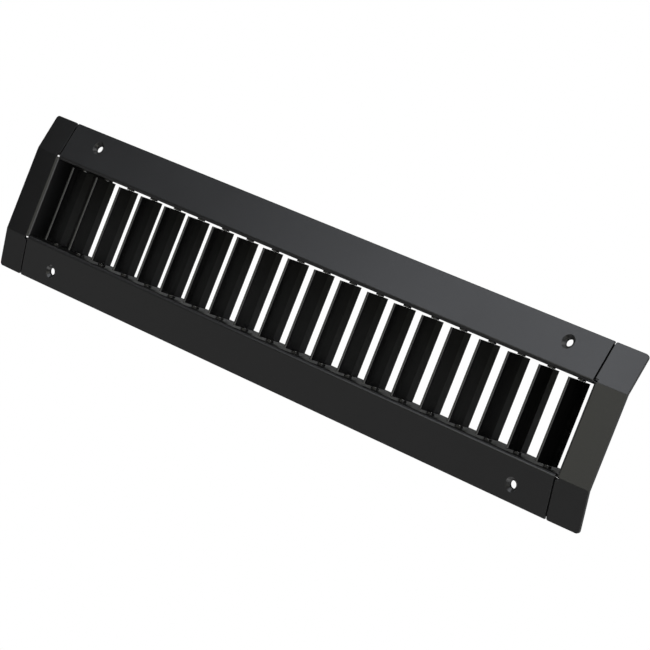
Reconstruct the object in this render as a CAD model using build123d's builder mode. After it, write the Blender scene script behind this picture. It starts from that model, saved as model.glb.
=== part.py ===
from build123d import *
import os
from math import cos, radians, sin, tan

os.makedirs("parts", exist_ok=True)

# Single deflection grille for a round duct: two long folded rails and two folded end caps
# make the frame, and twenty upright blades swivel one by one on pins in the rails.
# X runs along the grille, Y across it, Z out of its face, and Z = 0 is the throat's back rim.

# Sheet metal
sheet = 1.2
bend_inside = 0.6
bend_outside = bend_inside + sheet

# Blade row
blade_count = 20
blade_spacing = 20.0
end_margin = 14.7

# Throat, measured inside, and the height of the face above the throat's back rim;
# its end walls lean in towards the back, which lets the grille into its cut-out
throat_height = 46.9
face_height = 40.0
end_lean = 13.0

# Flanges that slope back to lie along the round duct
flange_slope = 14.0
flange_width = 22.2
fold_outside_throat = 1.65

# End caps, whose facets droop a little towards their outer edge
cap_width = 20.0
cap_droop = 4.5
cap_outer_corner = 2.0
cap_inner_corner = 1.2
rail_gap = 1.1
relief_width = 1.5

# Lap tabs behind the flanges and lugs beside the throat, both part of the end caps
tab_width = 20.0
tab_from_fold = 0.9
tab_reach = 8.0
tab_root = 4.0
tab_corner = 2.0
lug_reach = 8.0
lug_height = 25.0
lug_above_rim = 6.0

# Dimpled screw holes in the rails
screw_hole_radius = 2.1
dimple_radius = 3.9
dimple_depth = 1.3
screw_from_edge = 9.0
screw_from_end = 24.4

# Blades
blade_nose = 10.4
blade_tail = 7.4
blade_thickness = 3.2
nose_radius = 0.75
tail_radius = 0.45
nose_below_face = 0.3
blade_end_gap = 1.25

# How far each blade was left turned, in degrees about Y, nose towards +X when positive
set_angles = [0.5, 5.5, 6.5, 0, 0, -0.5, -1, 0.5, 3.5, 0.5, 2, 0, 1, -2, -1.5, 1, -0.5, -3.5, 1, -2.5]

# Pivot pins and bushings
pin_radius = 1.0
pin_seat = 7.0
running_clearance = 0.05
bushing_radius = 1.8
collar_radius = 2.2
collar_play = 0.2
bushing_tail = 0.6

# Worked out from the sizes above
throat_half_length = (blade_count - 1) * blade_spacing / 2 + end_margin
throat_half_height = throat_height / 2
wall_half_height = throat_half_height + sheet
flange_half_length = throat_half_length - rail_gap
lean = radians(end_lean)
rim_half_length = throat_half_length - face_height * tan(lean)
rim_rise = sheet * sin(lean)
droop = radians(cap_droop)
along_cap = (cos(droop), 0, -sin(droop))
slope = radians(flange_slope)
fold_half_height = throat_half_height + fold_outside_throat
edge_half_height = fold_half_height + flange_width * cos(slope)
edge_height = face_height - flange_width * sin(slope)
rail_apex_height = face_height + fold_outside_throat * tan(slope)
bend_drop = (bend_outside - fold_outside_throat) * tan(slope) + bend_outside / cos(slope)
wall_height = face_height - bend_drop
pivot_height = face_height - nose_below_face - blade_nose
blade_half_length = throat_half_height - blade_end_gap
pivot_places = [(n - (blade_count - 1) / 2) * blade_spacing for n in range(blade_count)]

# The outer face of the upper flange: local X along the grille, local Y down the slope
flange_face = Plane(
    origin=(0, fold_half_height, face_height),
    x_dir=(1, 0, 0),
    z_dir=(0, sin(slope), cos(slope)),
)


def finish(part, name):
    part.label = name
    export_step(part, f"parts/{name}.step")


# Upper rail: throat wall, bend and sloping flange in one folded strip
with BuildPart() as upper_rail:
    with BuildSketch(Plane.YZ):
        with BuildLine():
            FilletPolyline(
                (throat_half_height, 0),
                (throat_half_height, rail_apex_height),
                (edge_half_height, edge_height),
                radius=bend_outside,
            )
            offset(amount=sheet, side=Side.RIGHT)
        make_face()
    extrude(amount=flange_half_length, both=True)

    # The throat wall runs on past the flange, and its ends are cut to the end walls' lean
    with BuildSketch():
        with Locations((0, throat_half_height + sheet / 2)):
            Rectangle(2 * throat_half_length, sheet)
    extrude(amount=wall_height)
    for side in (-1, 1):
        with BuildSketch(Plane.XZ.offset(-throat_half_height)):
            Polygon(
                (side * rim_half_length, 0),
                (side * throat_half_length, 0),
                (side * throat_half_length, face_height),
                align=None,
            )
        extrude(amount=-sheet, mode=Mode.SUBTRACT)

    # Two screw holes, each pressed into a conical dimple
    for side in (-1, 1):
        screw_x = side * (flange_half_length - screw_from_end)
        seat_origin = flange_face.from_local_coords((screw_x, flange_width - screw_from_edge, 0))
        seat = Plane(origin=seat_origin, x_dir=(1, 0, 0), z_dir=flange_face.z_dir)
        with BuildSketch(seat):
            Circle(dimple_radius)
        extrude(amount=-sheet, mode=Mode.SUBTRACT)
        with BuildSketch(Plane(origin=seat_origin, x_dir=(1, 0, 0), z_dir=-flange_face.y_dir)):
            Polygon(
                (screw_hole_radius, -dimple_depth),
                (dimple_radius, 0),
                (dimple_radius, -sheet),
                (screw_hole_radius, -dimple_depth - sheet),
                align=None,
            )
        revolve(axis=Axis(seat_origin, flange_face.z_dir))

    # One hole for each blade's bushing
    with BuildSketch(Plane.XZ.offset(-throat_half_height)):
        with Locations((0, pivot_height)):
            with GridLocations(blade_spacing, blade_spacing, blade_count, 1):
                Circle(bushing_radius)
    extrude(amount=-sheet, mode=Mode.SUBTRACT)
finish(upper_rail.part, "upper_rail")

# Lower rail: the same strip the other way up
with BuildPart() as lower_rail:
    mirror(upper_rail.part, about=Plane.XZ)
finish(lower_rail.part, "lower_rail")

# Right end cap, drawn as its upper half and mirrored
with BuildPart() as right_end_cap:
    # Facets in line with the rails
    facets_origin = (throat_half_length + bend_outside, 0, -bend_outside * tan(droop))
    with BuildSketch(Plane(origin=facets_origin, x_dir=(0, 1, 0), z_dir=(1, 0, 0))):
        with BuildLine():
            FilletPolyline(
                (0, face_height),
                (fold_half_height, face_height),
                (edge_half_height, edge_height),
                radius=bend_outside,
            )
            offset(amount=sheet, side=Side.RIGHT)
        make_face()
    extrude(amount=(cap_width - bend_outside) / cos(droop), dir=along_cap)

    # The flange's inner edge, beyond the relief notch at the throat corner
    inner_edge_origin = (throat_half_length, fold_half_height, face_height)
    with BuildSketch(Plane(origin=inner_edge_origin, x_dir=flange_face.y_dir, z_dir=(1, 0, 0))):
        with Locations((relief_width, 0)):
            Rectangle(flange_width - relief_width, sheet, align=(Align.MIN, Align.MAX))
    extrude(amount=bend_outside / cos(droop), dir=along_cap)
    flange_corners = edges().filter_by(Axis((0, 0, 0), flange_face.z_dir)).group_by(Axis.Z)[0]
    fillet(flange_corners.sort_by(Axis.X)[-1], cap_outer_corner)
    flange_corners = edges().filter_by(Axis((0, 0, 0), flange_face.z_dir)).group_by(Axis.X)[0]
    fillet(flange_corners.sort_by(Axis.Z)[0], cap_inner_corner)

    # End wall of the throat, folded back from the facet
    with BuildSketch(Plane.XZ):
        with BuildLine():
            FilletPolyline(
                (rim_half_length + rim_rise * tan(lean), rim_rise),
                (throat_half_length, face_height),
                (throat_half_length + 2 * bend_outside, face_height - 2 * bend_outside * tan(droop)),
                radius=bend_outside,
            )
            offset(amount=sheet, side=Side.RIGHT)
        make_face()
    extrude(amount=-wall_half_height)

    # Lap tab behind the rail's flange
    with BuildSketch(flange_face.offset(-sheet)):
        with Locations((throat_half_length + tab_root, tab_from_fold)):
            Rectangle(tab_reach + tab_root, tab_width, align=(Align.MAX, Align.MIN))
        fillet(vertices().group_by(Axis.X)[0], tab_corner)
    extrude(amount=-sheet)

    # Lug beside the rail's throat wall, leaning with the end wall that it is folded from
    with BuildSketch(Plane.XY.offset(lug_above_rim)):
        lug_back = rim_half_length + lug_above_rim * tan(lean) + sheet / cos(lean)
        with Locations((lug_back, wall_half_height)):
            Rectangle(lug_reach + sheet, sheet, align=(Align.MAX, Align.MIN))
        fillet(vertices().group_by(Axis.X)[-1].sort_by(Axis.Y)[-1], bend_inside)
    extrude(amount=lug_height, dir=(sin(lean), 0, cos(lean)))

    mirror(about=Plane.XZ)
finish(right_end_cap.part, "right_end_cap")

# Left end cap: the same piece, opposite hand
with BuildPart() as left_end_cap:
    mirror(right_end_cap.part, about=Plane.YZ)
finish(left_end_cap.part, "left_end_cap")

# Upper bushings: one flanged plastic bushing in each hole of the rail, collar inwards
with BuildPart() as upper_bushings:
    bore_radius = pin_radius + running_clearance
    for pivot_x in pivot_places:
        with BuildSketch(Plane.XY.offset(pivot_height)):
            with Locations((pivot_x, 0)):
                Polygon(
                    (bore_radius, blade_half_length + collar_play),
                    (collar_radius, blade_half_length + collar_play),
                    (collar_radius, throat_half_height),
                    (bushing_radius, throat_half_height),
                    (bushing_radius, wall_half_height + bushing_tail),
                    (bore_radius, wall_half_height + bushing_tail),
                    align=None,
                )
        revolve(axis=Axis((pivot_x, 0, pivot_height), (0, 1, 0)))
finish(upper_bushings.part, "upper_bushings")

# Lower bushings
with BuildPart() as lower_bushings:
    mirror(upper_bushings.part, about=Plane.XZ)
finish(lower_bushings.part, "lower_bushings")

# Blades: a tapered section, rounded at the nose and thickest round the pivot,
# with a blind hole in each end for its pin
for number, (pivot_x, angle) in enumerate(zip(pivot_places, set_angles), start=1):
    nose_direction = (sin(radians(angle)), 0, cos(radians(angle)))
    pivot_plane = Plane(origin=(pivot_x, 0, pivot_height), x_dir=nose_direction, z_dir=(0, 1, 0))
    with BuildPart() as blade:
        with BuildSketch(pivot_plane):
            Circle(blade_thickness / 2)
            with Locations((blade_nose - nose_radius, 0)):
                Circle(nose_radius)
            with Locations((tail_radius - blade_tail, 0)):
                Circle(tail_radius)
            make_hull()
        extrude(amount=blade_half_length, both=True)
        for end_face in (faces().sort_by(Axis.Y)[0], faces().sort_by(Axis.Y)[-1]):
            end_plane = Plane(
                origin=(pivot_x, end_face.center().Y, pivot_height),
                x_dir=nose_direction,
                z_dir=end_face.normal_at(),
            )
            with BuildSketch(end_plane):
                Circle(pin_radius)
            extrude(amount=-pin_seat, mode=Mode.SUBTRACT)
    finish(blade.part, f"blade_{number:02d}")

# Pivot pins: two for each blade, pressed into its ends and running in the bushings
for number, pivot_x in enumerate(pivot_places, start=1):
    with BuildPart() as pivot_pins:
        with BuildSketch(Plane.XZ.offset(pin_seat - blade_half_length)):
            with Locations((pivot_x, pivot_height)):
                Circle(pin_radius)
        extrude(amount=-(pin_seat + blade_end_gap + sheet + bushing_tail))
        mirror(about=Plane.XZ)
    finish(pivot_pins.part, f"pivot_pins_{number:02d}")
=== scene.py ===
import math

import bpy
from mathutils import Matrix, Quaternion, Vector

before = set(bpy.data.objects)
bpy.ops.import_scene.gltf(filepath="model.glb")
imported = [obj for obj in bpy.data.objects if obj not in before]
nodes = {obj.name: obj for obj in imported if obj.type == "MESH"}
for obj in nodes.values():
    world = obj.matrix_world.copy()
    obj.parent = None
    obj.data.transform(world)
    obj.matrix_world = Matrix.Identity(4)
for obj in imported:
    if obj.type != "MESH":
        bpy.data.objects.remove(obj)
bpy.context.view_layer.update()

# Camera
# A long lens, well to the right of the grille and high above its face, rolled so that the
# grille runs down the picture from upper left to lower right.
camera_place = Vector((1.01909, 0.06429, 1.18552))
camera_aim = Vector((0.03131, -0.00257, 0.0398))
camera_roll = math.radians(21.5)
camera_lens = 160.14
camera_data = bpy.data.cameras.new("camera")
camera_data.sensor_width = 36
camera_data.lens = camera_lens
camera_data.clip_start = 0.05
camera_data.clip_end = 20
camera = bpy.data.objects.new("camera", camera_data)
bpy.context.scene.collection.objects.link(camera)
sight = (camera_aim - camera_place).normalized()
level = sight.cross(Vector((0, 1, 0))).normalized()
upright = level.cross(sight)
unrolled = Matrix((level, upright, -sight)).transposed().to_quaternion()
turned = Quaternion(-sight, camera_roll) @ unrolled
camera.matrix_world = Matrix.LocRotScale(camera_place, turned, None)
bpy.context.scene.camera = camera

# Rails and end caps
# Folded steel sheet, spot-welded at the laps, with a satin black powder coat on it that
# levels out into a faint orange peel and rounds the sharp edges a little.


class Value:
    """A socket of a node tree, so that shader sums read as plain Python."""

    def __init__(self, nodes, socket):
        self.nodes = nodes
        self.socket = socket

    def _sum(self, operation, first, second=0.0):
        return self.nodes.node("ShaderNodeMath", {"operation": operation}, {0: first, 1: second})

    def __add__(self, other):
        return self._sum("ADD", self, other)

    def __radd__(self, other):
        return self._sum("ADD", other, self)

    def __sub__(self, other):
        return self._sum("SUBTRACT", self, other)

    def __rsub__(self, other):
        return self._sum("SUBTRACT", other, self)

    def __mul__(self, other):
        return self._sum("MULTIPLY", self, other)

    def __rmul__(self, other):
        return self._sum("MULTIPLY", other, self)

    def __truediv__(self, other):
        return self._sum("DIVIDE", self, other)

    def __abs__(self):
        return self._sum("ABSOLUTE", self)

    def larger(self, other):
        return self._sum("MAXIMUM", self, other)


class NodeTree:
    """A node tree that is filled one node at a time."""

    def __init__(self, tree):
        self.tree = tree

    def node(self, kind, settings, inputs, output=0):
        made = self.tree.nodes.new(kind)
        for key, setting in settings.items():
            setattr(made, key, setting)
        for key, given in inputs.items():
            self.feed(made.inputs[key], given)
        return Value(self, made.outputs[output])

    def feed(self, socket, given):
        if isinstance(given, Value):
            self.tree.links.new(given.socket, socket)
        else:
            socket.default_value = given

    def spread(self, value, low, high, to_low, to_high):
        inputs = {"Value": value, "From Min": low, "From Max": high, "To Min": to_low, "To Max": to_high}
        return self.node("ShaderNodeMapRange", {"clamp": True}, inputs)


class Finish(NodeTree):
    """A material round one Principled shader, patterned on the part's own coordinates."""

    def __init__(self, name):
        self.material = bpy.data.materials.new(name)
        self.material.use_nodes = True
        super().__init__(self.material.node_tree)
        self.shader = self.tree.nodes["Principled BSDF"]
        self.place = self.node("ShaderNodeTexCoord", {}, {}, "Object")

    def set(self, **inputs):
        for key, given in inputs.items():
            self.feed(self.shader.inputs[key.replace("_", " ")], given)

    def noise(self, scale, detail=2.0, stretch=(1, 1, 1)):
        place = self.node("ShaderNodeMapping", {}, {"Vector": self.place, "Scale": stretch})
        return self.node("ShaderNodeTexNoise", {}, {"Vector": place, "Scale": scale, "Detail": detail})

    def ramp(self, value, low, high):
        return self.spread(value, 0.3, 0.7, low, high)

    def mix(self, amount, first, second):
        settings = {"data_type": "RGBA", "clamp_factor": True}
        return self.node("ShaderNodeMix", settings, {0: amount, 6: first, 7: second}, 2)

    def bump(self, height, distance, strength=1.0, under=None):
        inputs = {"Height": height, "Distance": distance, "Strength": strength}
        if under is not None:
            inputs["Normal"] = under
        return self.node("ShaderNodeBump", {}, inputs)


def cover(node_name, finish):
    slots = nodes[node_name].material_slots
    for slot in slots:
        slot.material = finish.material


coat_black = (0.0035, 0.0035, 0.0037, 1)
coat_bloom = (0.0052, 0.0052, 0.0055, 1)
edge_softness = 0.00025

powder_coat = Finish("satin black powder coat")
peel = powder_coat.noise(520, 3.0)
grain = powder_coat.noise(2600, 1.0)
cloud = powder_coat.noise(14, 2.0)
softened = powder_coat.node("ShaderNodeBevel", {"samples": 8}, {"Radius": edge_softness})
peel_height = 0.8 * peel + 0.2 * grain
powder_coat.set(
    Base_Color=powder_coat.mix(powder_coat.ramp(cloud, 0, 1), coat_black, coat_bloom),
    Roughness=powder_coat.ramp(cloud, 0.26, 0.3) + 0.04 * peel,
    Normal=powder_coat.bump(peel_height, 0.00004, 0.6, softened),
)
for name in ("upper_rail", "lower_rail", "left_end_cap", "right_end_cap"):
    cover(name, powder_coat)

# Blades
# Tapered black blades with a rounded nose. They were drawn lengthwise, so faint streaks run
# from end to end under a coat that is a little glossier than the frame's.
blade_black = (0.0015, 0.0015, 0.0016, 1)
blade_bloom = (0.0032, 0.0032, 0.0033, 1)

blade_coat = Finish("black blade coat")
streaks = blade_coat.noise(700, 2.0, (1, 0.02, 1))
peel = blade_coat.noise(650, 2.0)
softened = blade_coat.node("ShaderNodeBevel", {"samples": 8}, {"Radius": edge_softness})
blade_height = 0.7 * streaks + 0.3 * peel
blade_coat.set(
    Base_Color=blade_coat.mix(blade_coat.ramp(streaks, 0, 1), blade_black, blade_bloom),
    Roughness=blade_coat.ramp(streaks, 0.17, 0.24),
    Normal=blade_coat.bump(blade_height, 0.00003, 0.5, softened),
)

# Bushings
# Small black nylon bushings, pressed into the rails, with the slight shine of moulded plastic.
nylon_black = (0.007, 0.007, 0.007, 1)
nylon_worn = (0.012, 0.012, 0.012, 1)

nylon = Finish("moulded black nylon")
mottle = nylon.noise(900, 2.0)
nylon.set(
    Base_Color=nylon.mix(nylon.ramp(mottle, 0, 1), nylon_black, nylon_worn),
    Roughness=nylon.ramp(mottle, 0.3, 0.4),
    Normal=nylon.bump(mottle, 0.00002, 0.4),
)
for name in ("upper_bushings", "lower_bushings"):
    cover(name, nylon)

# Pivot pins
# Drawn steel pins, bare where they turn in the bushings, with fine rings round them.
steel_bright = (0.5, 0.5, 0.51, 1)
steel_dull = (0.36, 0.36, 0.37, 1)

pin_steel = Finish("drawn pin steel")
rings = pin_steel.noise(1500, 2.0, (0.1, 1, 0.1))
pin_steel.set(
    Metallic=1.0,
    Base_Color=pin_steel.mix(pin_steel.ramp(rings, 0, 1), steel_bright, steel_dull),
    Roughness=pin_steel.ramp(rings, 0.25, 0.38),
    Normal=pin_steel.bump(rings, 0.00001, 0.5),
)
for name in nodes:
    if name.startswith("blade_"):
        cover(name, blade_coat)
    if name.startswith("pivot_pins_"):
        cover(name, pin_steel)

# Floor
# A plain pale floor that the grille lies on, face up. The picture and reflections see it as
# plain white, but under the grille reflections keep its real shade.
shade_reach = (0.235, 0.055)

bpy.ops.object.select_all(action="DESELECT")
bpy.ops.mesh.primitive_plane_add(size=12, location=(0, 0, 0))
floor = bpy.context.object
floor.name = "floor"
floor_paint = Finish("matt pale floor")
floor_paint.set(Base_Color=(0.6, 0.6, 0.6, 1), Roughness=0.9)
along = floor_paint.node("ShaderNodeSeparateXYZ", {}, {0: floor_paint.place}, "X")
across = floor_paint.node("ShaderNodeSeparateXYZ", {}, {0: floor_paint.place}, "Y")
outside = (abs(along) / shade_reach[0]).larger(abs(across) / shade_reach[1])
seen_in_gloss = floor_paint.node("ShaderNodeLightPath", {}, {}, "Is Glossy Ray")
seen_in_gloss = seen_in_gloss * floor_paint.spread(outside, 0.9, 1.3, 0, 1)
seen_through = floor_paint.node("ShaderNodeLightPath", {}, {}, "Is Transmission Ray")
seen = floor_paint.node("ShaderNodeLightPath", {}, {}, "Is Camera Ray")
seen_white = seen.larger(seen_through).larger(seen_in_gloss)
plain_white = floor_paint.node("ShaderNodeEmission", {}, {"Strength": 1.0})
painted = Value(floor_paint, floor_paint.shader.outputs[0])
shown = floor_paint.node("ShaderNodeMixShader", {}, {0: seen_white, 1: painted, 2: plain_white})
floor_paint.feed(floor_paint.tree.nodes["Material Output"].inputs["Surface"], shown)
floor.data.materials.append(floor_paint.material)

# Studio
# A white backdrop all round, a dim ceiling above it, and soft boxes: the key one high beyond
# the upper rail, a long narrow one overhead, a weak one on the lower rail's side, a low one
# on the camera's side for the blade noses, and one at each side that only raises the level.
ceiling_light = 0.05
horizon = (0.1, 0.25)

world = bpy.data.worlds.new("studio")
world.use_nodes = True
bpy.context.scene.world = world
studio = NodeTree(world.node_tree)
direction = studio.node("ShaderNodeTexCoord", {}, {}, "Generated")
height = studio.node("ShaderNodeSeparateXYZ", {}, {0: direction}, "Z")
near_horizon = studio.spread(height, horizon[0], horizon[1], 1, 0)
seen_in_gloss = studio.node("ShaderNodeLightPath", {}, {}, "Is Glossy Ray") * near_horizon
seen_through = studio.node("ShaderNodeLightPath", {}, {}, "Is Transmission Ray")
seen = studio.node("ShaderNodeLightPath", {}, {}, "Is Camera Ray")
seen_white = seen.larger(seen_through).larger(seen_in_gloss)
backdrop = studio.tree.nodes["Background"]
studio.feed(backdrop.inputs["Color"], (1, 1, 1, 1))
studio.feed(backdrop.inputs["Strength"], studio.spread(seen_white, 0, 1, ceiling_light, 1))


def soft_box(name, place, aim, size, brightness, colour=(1, 1, 1)):
    """A rectangular lamp whose face is as bright as a white card times brightness."""
    lamp = bpy.data.lights.new(name, "AREA")
    lamp.shape = "RECTANGLE"
    lamp.size, lamp.size_y = size
    lamp.energy = brightness * math.pi * size[0] * size[1]
    lamp.color = colour
    box = bpy.data.objects.new(name, lamp)
    box.location = place
    box.rotation_mode = "QUATERNION"
    box.rotation_quaternion = (Vector(aim) - Vector(place)).to_track_quat("-Z", "Y")
    box.visible_camera = False
    bpy.context.scene.collection.objects.link(box)


cool = (0.95, 0.98, 1.04)
warm = (1.0, 1.0, 0.88)
soft_box("key soft box", (-0.7, 0.85, 1.5), (-0.7, 0.85, 0), (1.4, 1.0), 2.7, cool)
soft_box("top soft box", (-0.1, -0.05, 1.5), (-0.1, -0.05, 0), (2.0, 0.5), 1.35, warm)
soft_box("front soft box", (-1.5, -1.0, 1.5), (-1.5, -1.0, 0), (2.6, 0.7), 0.42)
soft_box("low soft box", (2.0, 0, 1.0), (0, 0, 0), (2.2, 1.5), 2.6)
soft_box("left side box", (0.5, -1.9, 1.2), (0, 0, 0), (1.6, 1.2), 2.5)
soft_box("right side box", (0.5, 1.9, 1.2), (0, 0, 0), (1.6, 1.2), 2.5)

# Picture
scene = bpy.context.scene
scene.view_settings.view_transform = "Standard"
